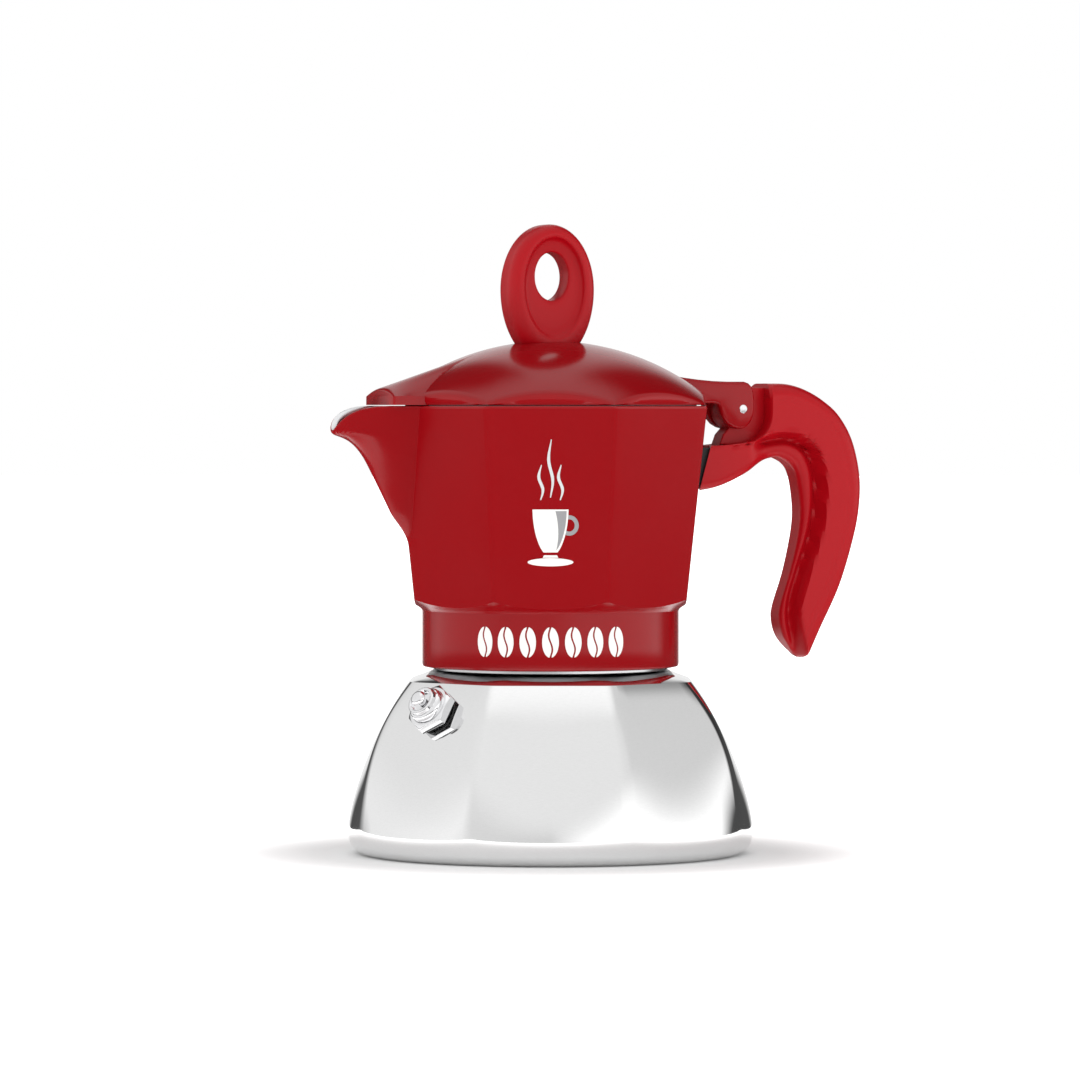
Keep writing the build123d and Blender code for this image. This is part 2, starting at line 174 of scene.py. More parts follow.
def skin(name, rings, loop=False, sharp_deg=32, row_slots=None):
    """Closed mesh over rings of points: a loop of rings, or rings with their two ends filled."""
    rings = np.asarray(rings, float)
    count, around = rings.shape[:2]
    vertices = rings.reshape(-1, 3)
    faces = []
    slots = []
    for row in range(count if loop else count - 1):
        below = row * around
        above = ((row + 1) % count) * around
        for col in range(around):
            after = (col + 1) % around
            faces.append((below + col, below + after, above + after, above + col))
            slots.append(row_slots[row] if row_slots else 0)
    if not loop:
        for row in (0, count - 1):
            faces.append(tuple(range(row * around, (row + 1) * around)))
            slots.append(row_slots[min(row, count - 2)] if row_slots else 0)
    return make_object(name, vertices, faces, sharp_deg, slots)


def lathe(name, profile, around=128, loop=False, sharp_deg=32):
    """Solid turned about Z from (radius, height) points."""
    turn = np.linspace(0, 2 * math.pi, around, endpoint=False)
    rings = [np.stack([r * np.cos(turn), r * np.sin(turn), np.full(around, z)], axis=1) for r, z in profile]
    return skin(name, rings, loop=loop, sharp_deg=sharp_deg)


def outward(outline):
    """Unit normals of a closed outline that runs counter-clockwise."""
    ahead = np.roll(outline, -1, axis=0) - np.roll(outline, 1, axis=0)
    normals = np.stack([ahead[:, 1], -ahead[:, 0]], axis=1)
    return normals / np.maximum(np.linalg.norm(normals, axis=1), 1e-9)[:, None]


def slab(name, outline, half, edge, sharp_deg=32, steps=5):
    """Plate between -Y and +Y from an (x, z) outline, with its edges rounded to the radius edge."""
    outline = np.array(outline, float)
    area = np.sum(outline[:, 0] * np.roll(outline[:, 1], -1) - np.roll(outline[:, 0], -1) * outline[:, 1])
    if area < 0:
        outline = outline[::-1]
    normals = outward(outline)
    rings = []
    for bend in np.linspace(0, math.pi / 2, steps):
        flat = outline - normals * edge * (1 - math.sin(bend))
        depth = half - edge + edge * math.cos(bend)
        rings.append(np.stack([flat[:, 0], np.full(len(flat), -depth), flat[:, 1]], axis=1))
    mirrored = [ring * (1, -1, 1) for ring in rings[::-1]]
    return skin(name, rings + mirrored, sharp_deg=sharp_deg)


def combine(base, cutter, operation):
    """Exact boolean of two pieces; the cutter is used up."""
    modifier = base.modifiers.new("cut", "BOOLEAN")
    modifier.operation = operation
    modifier.solver = "EXACT"
    modifier.object = cutter
    graph = bpy.context.evaluated_depsgraph_get()
    mesh = bpy.data.meshes.new_from_object(base.evaluated_get(graph))
    base.modifiers.remove(modifier)
    base.data = mesh
    bpy.data.objects.remove(cutter)
    return base


def crisp(piece, sharp_deg=32):
    """Smooth shading up to an angle."""
    piece.data.shade_smooth()
    piece.data.set_sharp_from_angle(angle=math.radians(sharp_deg))
    return piece


def dress(piece, body, slot, nodes, *materials):
    """Puts a finished piece on its body, in place of its nodes, with its materials."""
    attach(piece, body)
    if nodes:
        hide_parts(*nodes)
    for material in materials:
        piece.data.materials.append(material)
    return piece


# ------------------------------------------------------------------ octagon rings
ARC_STEPS = np.radians(np.linspace(-22.5, 22.5, 7))
FACET_STEPS = 10
SPOUT_STEPS = 15


def corner_point(apothem, rounding, corner, bend):
    """Point on the rounded corner of an octagon; bend runs from -22.5 to 22.5 degrees across the corner."""
    turn = 2 * HALF_CORNER * corner
    centre = (apothem - rounding) / math.cos(HALF_CORNER)
    return np.array([
        centre * math.cos(turn) + rounding * math.cos(turn + bend),
        centre * math.sin(turn) + rounding * math.sin(turn + bend),
    ])


def octagon_ring(apothem, rounding, height, octagonal=1.0):
    """Level ring between a circle (octagonal 0) and an octagon with rounded corners (octagonal 1)."""
    points = []
    for corner in range(CORNERS):
        arc = [corner_point(apothem, rounding, corner, bend) for bend in ARC_STEPS]
        following = corner_point(apothem, rounding, corner + 1, ARC_STEPS[0])
        points += arc
        for step in range(1, FACET_STEPS):
            points.append(arc[-1] + (following - arc[-1]) * step / FACET_STEPS)
    flat = np.array(points)
    circle = flat / np.linalg.norm(flat, axis=1)[:, None] * apothem
    flat = circle + (flat - circle) * octagonal
    return np.column_stack([flat, np.full(len(flat), height)])


def round_ring(radius, height, directions, wobble=None):
    """Level circle with its points in given directions; wobble changes the radius by direction."""
    reach = radius if wobble is None else radius + wobble(directions, height)
    return np.column_stack([
        reach * np.cos(directions), reach * np.sin(directions), np.full(len(directions), height)
    ])


def thread_groove(low, high, depth):
    """Helical groove of rounded section between two heights, fading at its ends."""
    def wobble(directions, height):
        phase = (height / THREAD_PITCH - directions / (2 * math.pi)) % 1
        ridge = smoothstep(0.0, 0.35, phase) * (1 - smoothstep(0.55, 0.9, phase))
        fade = smoothstep(low, low + 0.8, height) * (1 - smoothstep(high - 0.8, high, height))
        return depth * (ridge - 1) * fade
    return wobble


# ------------------------------------------------------------------ boiler
BELL_ROUNDING = 6.0


def bell_profile():
    """(radius, height) points up the outside of the bell, from the edge of its flat foot to its mouth."""
    foot = bezier([(BELL_BASE_R - 1, 0), (BELL_BASE_R + 2.8, 0), (BELL_R, 2.0), (BELL_R, 6.0)], 12)
    side = bezier([(BELL_R, 6.0), (BELL_R, 10.0), (46.4, 28.3), BELL_SHOULDER], 48)
    shoulder = np.linspace(BELL_SHOULDER, BELL_MOUTH, 12)
    return np.vstack([foot, side[1:], shoulder[1:]])


def inset_profile(profile, inset):
    """The profile moved inwards along its normals."""
    ahead = np.gradient(profile, axis=0)
    normals = np.stack([ahead[:, 1], -ahead[:, 0]], axis=1)
    normals /= np.linalg.norm(normals, axis=1)[:, None]
    return profile - normals * inset


def bell_rings(inset):
    """Rings up the bell, round at the foot and octagonal above."""
    rings = []
    for (radius, height), (_, level) in zip(inset_profile(bell_profile(), inset), bell_profile()):
        octagonal = smoothstep(1, 38, level) * (1 - 0.8 * smoothstep(43.5, 46, level))
        rings.append(octagon_ring(radius, BELL_ROUNDING, height, octagonal))
    return rings


def directions_of(ring):
    return np.arctan2(ring[:, 1], ring[:, 0])


def boiler_jacket():
    """Polished steel bell with a shallow ring pressed into its foot."""
    outside = bell_rings(0)
    inside = bell_rings(JACKET_WALL)
    turns = directions_of(outside[20])
    foot = [round_ring(r, z, turns) for r, z in [(14, 0.3), (37, 0.3), (37.8, 0.22), (38.6, 0.0), (42, 0.0)]]
    mouth = [round_ring(r, z, turns) for r, z in [(29.4, 45.95), (28.95, 45.6), (28.75, 45.0)]]
    closing = [round_ring(r, JACKET_WALL, turns) for r in (38, 14)]
    return skin("boiler_jacket_bell", foot + outside + mouth + inside[::-1] + closing, sharp_deg=20)


def boiler_liner():
    """Water vessel with its neck, turned smooth above and below the thread."""
    outside = bell_rings(JACKET_WALL + 0.1)[:-4]
    inside = bell_rings(JACKET_WALL + LINER_WALL)[:-6]
    turns = directions_of(outside[20])
    groove = thread_groove(48.2, NECK_TOP - 0.6, THREAD_DEPTH)
    neck = [round_ring(NECK_R - 0.25, 43.4, turns), round_ring(NECK_R, 44.2, turns)]
    neck += [round_ring(NECK_R, z, turns, groove) for z in np.arange(46.0, NECK_TOP - 0.5, 0.16)]
    top = [(NECK_R - 0.5, NECK_TOP - 0.45), (NECK_R - 0.9, NECK_TOP), (NECK_BORE_R + 0.5, NECK_TOP),
           (NECK_BORE_R, NECK_TOP - 0.5), (NECK_BORE_R, 50), (NECK_BORE_R, 43.5), (NECK_BORE_R + 0.8, 42.6)]
    neck += [round_ring(r, z, turns) for r, z in top]
    low = [round_ring(20, JACKET_WALL + 0.1, turns)]
    floor = [round_ring(20, JACKET_WALL + LINER_WALL, turns)]
    return skin("boiler_liner_vessel", low + outside + neck + inside[::-1] + floor, sharp_deg=40)


# ------------------------------------------------------------------ collector
def can_apothem(height):
    """Distance of the collector's facets from the axis at a height."""
    share = (height - CAN_LOW) / (RIM - CAN_LOW)
    return CAN_LOW_APOTHEM + share * (CAN_TOP_APOTHEM - CAN_LOW_APOTHEM)


KEEL = np.vstack([
    [(-37.0, 73.9), (-38.3, SPOUT_START)],
    bezier([(-38.8, 77.5), (-43.0, 85.8), (-46.0, 91.7), (-48.0, 95.6)], 16),
    bezier([(-48.6, 96.8), (-50.6, 100.8), (-52.9, 103.4), (-56.4, 104.3)], 24),
    bezier([(-56.6, 104.35), (-57.6, 104.6), (-58.35, 105.0), (-58.4, 106.0)], 10),
    [(-58.4, 112.0)],
])
RIM_FALL = bezier([(-47.6, RIM), (-53.6, RIM - 0.2), (-57.9, 109.2), (-58.45, 105.4)], 40)


def keel_at(height):
    """X of the spout's keel at a height."""
    return float(np.interp(height, KEEL[:, 1], KEEL[:, 0]))


def rim_at(x):
    """Height of the rim at x, level round the can and falling along the spout."""
    return float(np.interp(x, RIM_FALL[::-1, 0], RIM_FALL[::-1, 1]))


def collector_columns():
    """Upright lines of the collector's skin: (kind, corner or side, share) in counter-clockwise order."""
    shares = np.linspace(0, 1, SPOUT_STEPS)
    columns = [("spout", 1, s) for s in shares] + [("spout", -1, s) for s in shares[-2::-1]]
    for corner in range(SPOUT_CORNER, SPOUT_CORNER + CORNERS):
        if corner != SPOUT_CORNER:
            columns += [("arc", corner % CORNERS, bend) for bend in ARC_STEPS]
        columns += [("facet", corner % CORNERS, step / FACET_STEPS) for step in range(1, FACET_STEPS)]
    return columns


def crease(height, inset, side, rounding, apothem):
    """Where the spout leaves its facet: at the corner low down, some way along the facet at the rim."""
    start = SPOUT_START + 2 * inset
    share = max(0.0, (height - start) / (RIM - start))
    tangent = rounding * math.tan(HALF_CORNER)
    along = tangent + (SPOUT_REACH - 0.5 * inset - tangent) * share
    radius = apothem / math.cos(HALF_CORNER)
    return np.array([-radius + along * math.sin(HALF_CORNER), side * along * math.cos(HALF_CORNER)])


def spout_point(height, inset, side, share, rounding, apothem):
    """Point of the spout's level section, a U from the crease to the keel."""
    start = crease(height, inset, side, rounding, apothem)
    arc_x = -((apothem - rounding) / math.cos(HALF_CORNER) + rounding)
    tip_x = min(arc_x, keel_at(height) + inset * 1.2)
    handle = 0.1309 * rounding
    plain = [start, start - handle * np.array([math.sin(HALF_CORNER), side * math.cos(HALF_CORNER)]),
             np.array([arc_x, side * handle]), np.array([arc_x, 0])]
    reach = start[0] - tip_x
    full = 0.40 + 0.30 * float(smoothstep(90, 104, height))
    bowed = [start, start + np.array([-0.64 * reach, -side * 0.18 * reach]),
             np.array([tip_x, start[1] * full]), np.array([tip_x, 0])]
    opened = float(smoothstep(SPOUT_START + 2 * inset - 1, SPOUT_START + 2 * inset + 9, height))
    p = [a + (b - a) * opened for a, b in zip(plain, bowed)]
    t = share
    return (1 - t) ** 3 * p[0] + 3 * (1 - t) ** 2 * t * p[1] + 3 * (1 - t) * t * t * p[2] + t**3 * p[3]


def can_point(column, height, inset):
    """Point of the collector's wall in a column at a height, drawn in by inset."""
    kind, where, share = column
    apothem = can_apothem(height) - inset
    rounding = max(CAN_ROUNDING - 0.4 * inset, 0.8)
    if kind == "arc":
        flat = corner_point(apothem, rounding, where, share)
    elif kind == "facet":
        start = corner_point(apothem, rounding, where, ARC_STEPS[-1])
        end = corner_point(apothem, rounding, where + 1, ARC_STEPS[0])
        if where == SPOUT_CORNER:
            start = crease(height, inset, -1, rounding, apothem)
        if where == SPOUT_CORNER - 1:
            end = crease(height, inset, 1, rounding, apothem)
        flat = start + (end - start) * share
    else:
        flat = spout_point(height, inset, where, share, rounding, apothem)
    return np.array([flat[0], flat[1], height])


def wall_of(column):
    """Wall thickness, thinner towards the lip of the spout."""
    kind, _, share = column
    return CAN_WALL + (LIP_WALL - CAN_WALL) * (share if kind == "spout" else 0)


SKIRT_TURNING = np.array([
    (60.8, 32.1), (61.3, 32.45), (61.9, 33.35), (62.6, 34.6), (63.4, 35.9), (64.3, 37.3),
])


def scallop_height(column):
    """Height where the turned lower edge meets the facets in a column."""
    low, high = 61.0, 66.0
    for _ in range(30):
        middle = (low + high) / 2
        reach = np.linalg.norm(can_point(column, middle, 0)[:2])
        turned = np.interp(middle, SKIRT_TURNING[:, 0], SKIRT_TURNING[:, 1], right=99)
        low, high = (middle, high) if turned < reach else (low, middle)
    return (low + high) / 2


def rim_height(column):
    """Height of the rim in a column."""
    height = RIM
    for _ in range(30):
        height = rim_at(can_point(column, height, 0)[0])
    return height


def collector_can():
    """Cast body: octagonal can with its spout, turned skirt, band, thread socket and seats."""
    columns = collector_columns()
    turns = np.array([math.atan2(*can_point(c, 64.0, 0)[1::-1]) for c in columns])
    rims = [rim_height(c) for c in columns]
    scallops = [scallop_height(c) for c in columns]
    rings = []
    paint = []

    def add(ring, painted):
        rings.append(ring)
        paint.append(0 if painted else 1)

    for radius, height in [(BAND_R - 0.9, BAND_LOW), (BAND_R - 0.5, BAND_LOW + 0.06),
                           (BAND_R - 0.15, BAND_LOW + 0.3),
                           (BAND_R, BAND_LOW + 0.75), (BAND_R, 52), (BAND_R, 57), (BAND_R, 60.8)]:
        add(round_ring(radius, height, turns), True)
    for share in np.linspace(0, 1, 8)[1:-1]:
        heights = 60.8 + (np.array(scallops) - 60.8) * share
        radii = np.interp(heights, SKIRT_TURNING[:, 0], SKIRT_TURNING[:, 1])
        add(np.column_stack([radii * np.cos(turns), radii * np.sin(turns), heights]), True)
    edge = [can_point(c, s, 0) for c, s in zip(columns, scallops)]
    add(np.array(edge), True)
    for share in np.linspace(0, 1, 120)[1:] ** 0.8:
        ring = [can_point(c, s + (r - 0.45 - s) * share, 0) for c, s, r in zip(columns, scallops, rims)]
        add(np.array(ring), True)
    for inset, drop in [(0.06, 0.22), (0.2, 0.07), (0.42, 0.0), (0.75, 0.0)]:
        add(np.array([can_point(c, r - drop, inset) for c, r in zip(columns, rims)]), inset < 0.1)
    for rest, drop in [(0.3, 0.0), (0.1, 0.1), (0.0, 0.4)]:
        add(np.array([can_point(c, r - drop, wall_of(c) - rest) for c, r in zip(columns, rims)]), False)
    for share in np.linspace(0, 1, 60)[1:]:
        heights = [r - 0.4 - (r - 0.4 - FLOOR - 3) * share for r in rims]
        add(np.array([can_point(c, h, wall_of(c)) for c, h in zip(columns, heights)]), False)
    for inset, height in [(0.4, 1.5), (1.3, 0.5), (3.0, 0.0), (7.0, 0.0)]:
        add(np.array([can_point(c, FLOOR + height, CAN_WALL + inset) for c in columns]), False)
    for radius, height in [(16, FLOOR), (BORE_R, FLOOR), (BORE_R, RECESS_HIGH), (8, RECESS_HIGH),
                           (RECESS_R, RECESS_HIGH),
                           (RECESS_R, SEAT_HIGH), (SEAT_R, SEAT_HIGH), (SEAT_R, SEAT_LOW),
                           (SOCKET_R, SEAT_LOW),
                           (SOCKET_R + 0.3, SEAT_LOW - 0.5)]:
        add(round_ring(radius, height, turns), False)
    groove = thread_groove(49.0, 57.4, -THREAD_DEPTH)
    for height in np.arange(57.2, 48.6, -0.16):
        add(round_ring(SOCKET_R + 0.05, height, turns, groove), False)
    for radius, height in [(SOCKET_R + 0.2, 48.2), (SOCKET_R + 0.3, 47.3), (SOCKET_R + 0.9, BAND_LOW)]:
        add(round_ring(radius, height, turns), False)
    return skin("collector_can", rings, loop=True, sharp_deg=26, row_slots=paint)


def coffee_column():
    """Tapered tube with a domed cap, side slots and an open bore."""
    outer = [(8.5, FLOOR - 0.3), (8.5, FLOOR + 0.4), (7.9, FLOOR + 1.2), (7.3, FLOOR + 2.6), (6.9, 75),
             (6.2, 85),
             (5.4, 96.3), (5.15, 97.1), (4.5, 97.75), (3.0, COLUMN_TOP), (0.4, COLUMN_TOP)]
    inner = [(0.4, 95.0), (BORE_R - 0.3, 95.0), (BORE_R, 94.7), (BORE_R, FLOOR - 0.3)]
    post = lathe("coffee_column", outer + inner, around=96, loop=True)
    slots = slab("slots", [(-1.3, 89.5), (1.3, 89.5), (1.3, 94.6), (0, 95.0), (-1.3, 94.6)], 12, 0.01)
    return crisp(combine(post, slots, "DIFFERENCE"))


def screw_boss():
    """Boss inside the can that the handle's screw bears on."""
    profile = [(4.6, -2.4), (4.6, 0.3), (4.2, 0.7), (2.2, 0.7), (2.1, 0.4), (2.1, -2.4)]
    boss = lathe("screw_boss", profile, loop=True)
    turn_to_x(boss, 37.4, 97.5)
    return boss


def turn_to_x(piece, x, z):
    """Turns a piece made about Z so that its top looks along -X, and moves it to (x, 0, z)."""
    for vertex in piece.data.vertices:
        across, side, up = vertex.co
        vertex.co = (x * MM - up, side, z * MM + across)


# ------------------------------------------------------------------ lid
def lid_columns():
    """Octagon columns of the lid as (corner, bend or share) with more of them on each facet."""
    columns = []
    for corner in range(CORNERS):
        columns += [("arc", corner, bend) for bend in ARC_STEPS]
        columns += [("facet", corner, step / 16) for step in range(1, 16)]
    return columns


def lid_flat(column, apothem):
    """Level position of a lid column at a distance of the facets from the axis."""
    kind, corner, share = column
    if kind == "arc":
        return corner_point(apothem, CAN_ROUNDING, corner, share)
    start = corner_point(apothem, CAN_ROUNDING, corner, ARC_STEPS[-1])
    end = corner_point(apothem, CAN_ROUNDING, corner + 1, ARC_STEPS[0])
    return start + (end - start) * share


def dome_height(flat, inset=0.0):
    """Height of the spherical top above a level position."""
    reach = np.linalg.norm(flat, axis=-1)
    return DOME_CENTRE + np.sqrt((DOME_R - inset) ** 2 - reach**2)


def dome_block(name, inset, low):
    """Solid under the dome: octagonal skirt and spherical top, drawn in by inset."""
    columns = lid_columns()
    rings = []
    edge = np.array([lid_flat(c, LID_APOTHEM - inset) for c in columns])
    crest = np.maximum(dome_height(edge, inset), low + 0.12)
    rounded = np.minimum(0.5, 0.6 * (crest - low)) if inset == 0 else 0 * crest
    for share, out in [(0.0, -0.3), (0.5, 0.1), (1.0, 0.0)]:
        flat = np.array([lid_flat(c, LID_APOTHEM - inset + out) for c in columns])
        rings.append(np.column_stack([flat, low + (crest - rounded - low) * share]))
    if inset == 0:
        rings.append(np.column_stack([edge * 0.9965, crest - 0.27 * rounded]))
    for share in np.linspace(0.988 if inset == 0 else 0.999, 0, 46)[:-1]:
        flat = edge * share
        rings.append(np.column_stack([flat, np.maximum(dome_height(flat, inset), low + 0.12)]))
    return skin(name, rings, sharp_deg=40)


def beak_block(name, inset, low):
    """Solid under the arched cover of the spout, drawn in by inset."""
    start = BEAK_X[0] + inset
    stations = [(x, 0.0) for x in np.linspace(start + 1.2, BEAK_X[-1], 26)]
    if inset == 0:
        stations = [(start, 0.6), (start + 0.1, 0.34), (start + 0.35, 0.14), (start + 0.7, 0.04)] + stations
    rings = []
    for x, sunk in stations:
        ridge = np.interp(x, BEAK_X, BEAK_RIDGE) - inset - sunk
        half = np.interp(x, BEAK_X, BEAK_HALF) - inset - sunk
        edge = BEAK_EDGE - inset - 0.3 * sunk
        across = np.linspace(-half, half, 33)
        top = edge + (ridge - edge) * (1 - (across / half) ** 2)
        roof = [(x, y, z) for y, z in zip(across, top)]
        rings.append(roof + [(x, half, low), (x, -half, low)])
    return skin(name, rings, sharp_deg=30)


def lid_prism(name, apothem, low, high):
    """Upright octagonal block on the lid's columns."""
    flat = np.array([lid_flat(c, apothem) for c in lid_columns()])
    return skin(name, [np.column_stack([flat, np.full(len(flat), z)]) for z in (low, high)])


ARM_OUTLINE = [
    (30, 115.5), (30, 119.6), (34, 118.9), (38, 118.4), (42, 118.05), (46, 117.9), (50.6, 117.9),
    (51.8, 117.5),
    (52.6, 116.7), (53.1, 115.5), (53.4, 113.4), (53.4, 111.0), (53.1, 109.2), (52.4, 107.7), (51.4, 106.6),
    (50.2, 106.05), (48.9, 106.0), (47.5, 106.35), (46.0, 107.2), (44.9, 108.4), (44.2, 109.8), (43.8, 111.2),
    (43.4, 112.2), (42.4, 112.45), (38, 112.45), (36, 113.4),
]


def lid_shell():
    """Lid in one casting: dome, beak, hinge arm with its fork, hollow underneath."""
    outside = dome_block("lid_casting", 0, LID_LOW)
    outside = combine(outside, beak_block("beak", 0, LID_LOW), "UNION")
    arm = slab("arm", ARM_OUTLINE, ARM_HALF, 0.8)
    gap = slab("gap", [(43.4, 100), (60, 100), (60, 121), (43.4, 121)], FORK_HALF_GAP, 0.01)
    arm = combine(arm, gap, "DIFFERENCE")
    outside = combine(outside, arm, "UNION")
    outside = combine(outside, lid_prism("lip", LIP_APOTHEM, LIP_LOW, LID_LOW + 0.5), "UNION")
    inside = dome_block("inside", LID_WALL, LID_LOW + 0.8)
    inside = combine(inside, lid_prism("lip_bore", LIP_APOTHEM - 1.2, LID_LOW - 3, LID_LOW + 1), "UNION")
    inside = combine(inside, beak_block("beak_inside", LID_WALL, LID_LOW - 3), "UNION")
    outside = combine(outside, inside, "DIFFERENCE")
    bore = lathe("bore", [(PIN_R + 0.1, -12), (PIN_R + 0.1, 12)], around=32)
    turn_to_y(bore, PIN_X, PIN_Z)
    return crisp(combine(outside, bore, "DIFFERENCE"), 30)


def turn_to_y(piece, x, z):
    """Turns a piece made about Z so that it lies along Y, and moves it to (x, 0, z)."""
    for vertex in piece.data.vertices:
        across, side, up = vertex.co
        vertex.co = (x * MM + across, up, z * MM + side)


def hinge_pin():
    """Pin with slightly domed ends."""
    profile = [(0.3, -6.15), (0.95, -6.1), (1.2, -5.9), (PIN_R, -5.6), (PIN_R, 5.6), (1.2, 5.9), (0.95, 6.1),
               (0.3, 6.15)]
    pin = lathe("hinge_pin_turned", profile, around=48)
    turn_to_y(pin, PIN_X, PIN_Z)
    return pin


# ------------------------------------------------------------------ knob
KNOB_X = -0.9
KNOB_OUTER = (11.6, 16.4, 18.2, 140.7)
KNOB_DISH = (8.0, 12.2, 12.6, 141.5)
KNOB_HOLE = (4.5, 6.05, 6.05, 144.1)


def ellipse_at(shape, turn):
    """Point (across, up) of an upright egg: half-width, height above and below its centre, centre."""
    half_width, above, below, centre = shape
    half_height = above if math.sin(turn) > 0 else below
    return np.array([KNOB_X + half_width * math.cos(turn), centre + half_height * math.sin(turn)])


def knob_ring():
    """Ring-shaped grip: oval hole, shallow dish on each face and a rounded rim; its foot ends in the lid."""
    half = KNOB_THICK / 2
    path = [(0, 0), (0, half - 2.5), (0.04, half - 2.1), (0.12, half - 1.95), (0.35, half - 1.85),
            (0.7, half - 1.6),
            (0.86, half - 1.3), (0.95, half - 0.9), (1.0, half - 0.5), (1.05, half - 0.18),
            (1.14, half - 0.03),
            (1.22, half)]
    bends = np.linspace(0, math.pi / 2, 12)[1:]
    rim = [(1.22 + 0.78 * math.sin(b), half - 3.6 * (1 - math.cos(b))) for b in bends]
    front = path + rim
    back = [(share, -depth) for share, depth in front[::-1]]
    rings = []
    for turn in np.linspace(0, 2 * math.pi, 144, endpoint=False):
        hole, dish, outer = (ellipse_at(s, turn) for s in (KNOB_HOLE, KNOB_DISH, KNOB_OUTER))
        ring = []
        for share, depth in front + back[:-1]:
            flat = hole + (dish - hole) * share if share <= 1 else dish + (outer - dish) * (share - 1)
            ring.append((flat[0], -depth, max(flat[1], KNOB_LOW - 0.1)))
        rings.append(ring)
    return skin("knob_ring", rings, loop=True, sharp_deg=50)


# ------------------------------------------------------------------ handle
OUTER_LINE = smooth_line([
    (57.8, 117.45), (63.0, 117.3), (67.6, 116.1), (72.6, 113.5), (77.3, 109.6), (81.1, 103.3), (83.2, 94.9),
    (83.3, 87.5), (81.8, 79.0), (77.7, 66.3), (72.1, 55.0), (69.1, 48.7),
], 120)
INNER_LINE = smooth_line([
    (ROOT_X, 90.2), (42.5, 91.2), (48.1, 93.3), (55.0, 97.0), (59.0, 98.6), (62.3, 98.4), (65.8, 95.4),
    (67.4, 87.6),
    (67.2, 80.5), (64.9, 70.3), (62.0, 61.4), (61.6, 57.6), (62.6, 53.8), (64.8, 50.6), (66.3, 49.0),
], 120)
TIP_LINE = bezier([(66.3, 49.0), (67.6, 47.7), (68.5, 47.5), (69.1, 48.7)], 40)
STEP_LINE = smooth_line([
    (50.0, 102.6), (55.8, 104.2), (63.5, 105.0), (69.5, 102.1), (72.6, 95.7), (73.0, 87.6),
    (71.7, 79.4), (68.3, 69.3),
    (65.9, 61.2), (66.2, 55.6), (68.8, 47.2),
], 60)
POCKET_BENDS = np.linspace(0.35, math.pi / 2, 14)
ROOT_LINE = np.vstack([
    [(ROOT_X, 90.2), (ROOT_X, ROOT_TOP - 0.6), (ROOT_X + 0.6, ROOT_TOP), (49.5, ROOT_TOP + 0.1)],
    [(POCKET_X + POCKET_R * math.sin(b), POCKET_Z - POCKET_R * math.cos(b)) for b in POCKET_BENDS],
    [(POCKET_X + POCKET_R, 113.5), (POCKET_X + POCKET_R, 116.2), (57.8, 117.45)],
])


def distance_to(points, line):
    """Distance of each point from a polyline."""
    best = np.full(len(points), 1e9)
    for a, b in zip(line[:-1], line[1:]):
        ab = b - a
        share = np.clip(((points - a) @ ab) / max(ab @ ab, 1e-12), 0, 1)
        best = np.minimum(best, np.linalg.norm(points - (a + share[:, None] * ab), axis=1))
    return best


def beyond(points, line):
    """Distance of each point from a line, positive to its right and negative to its left."""
    middle = (line[:-1] + line[1:]) / 2
    nearest = np.argmin(np.linalg.norm(points[:, None] - middle[None], axis=2), axis=1)
    ahead = (line[1:] - line[:-1])[nearest]
    away = points - line[nearest]
    cross = ahead[:, 0] * away[:, 1] - ahead[:, 1] * away[:, 0]
    return -np.sign(cross) * distance_to(points, line)


def root_notch():
    """Octagonal cone that shapes the root of the handle to the corner of the collector."""
    rings = []
    for height, clearance in ((86, 0.5), (88, 0.5), (108, 3.6)):
        flat = np.array([lid_flat(c, can_apothem(height) + clearance) for c in lid_columns()])
        rings.append(np.column_stack([flat, np.full(len(flat), height)]))
    return skin("root_notch", rings)


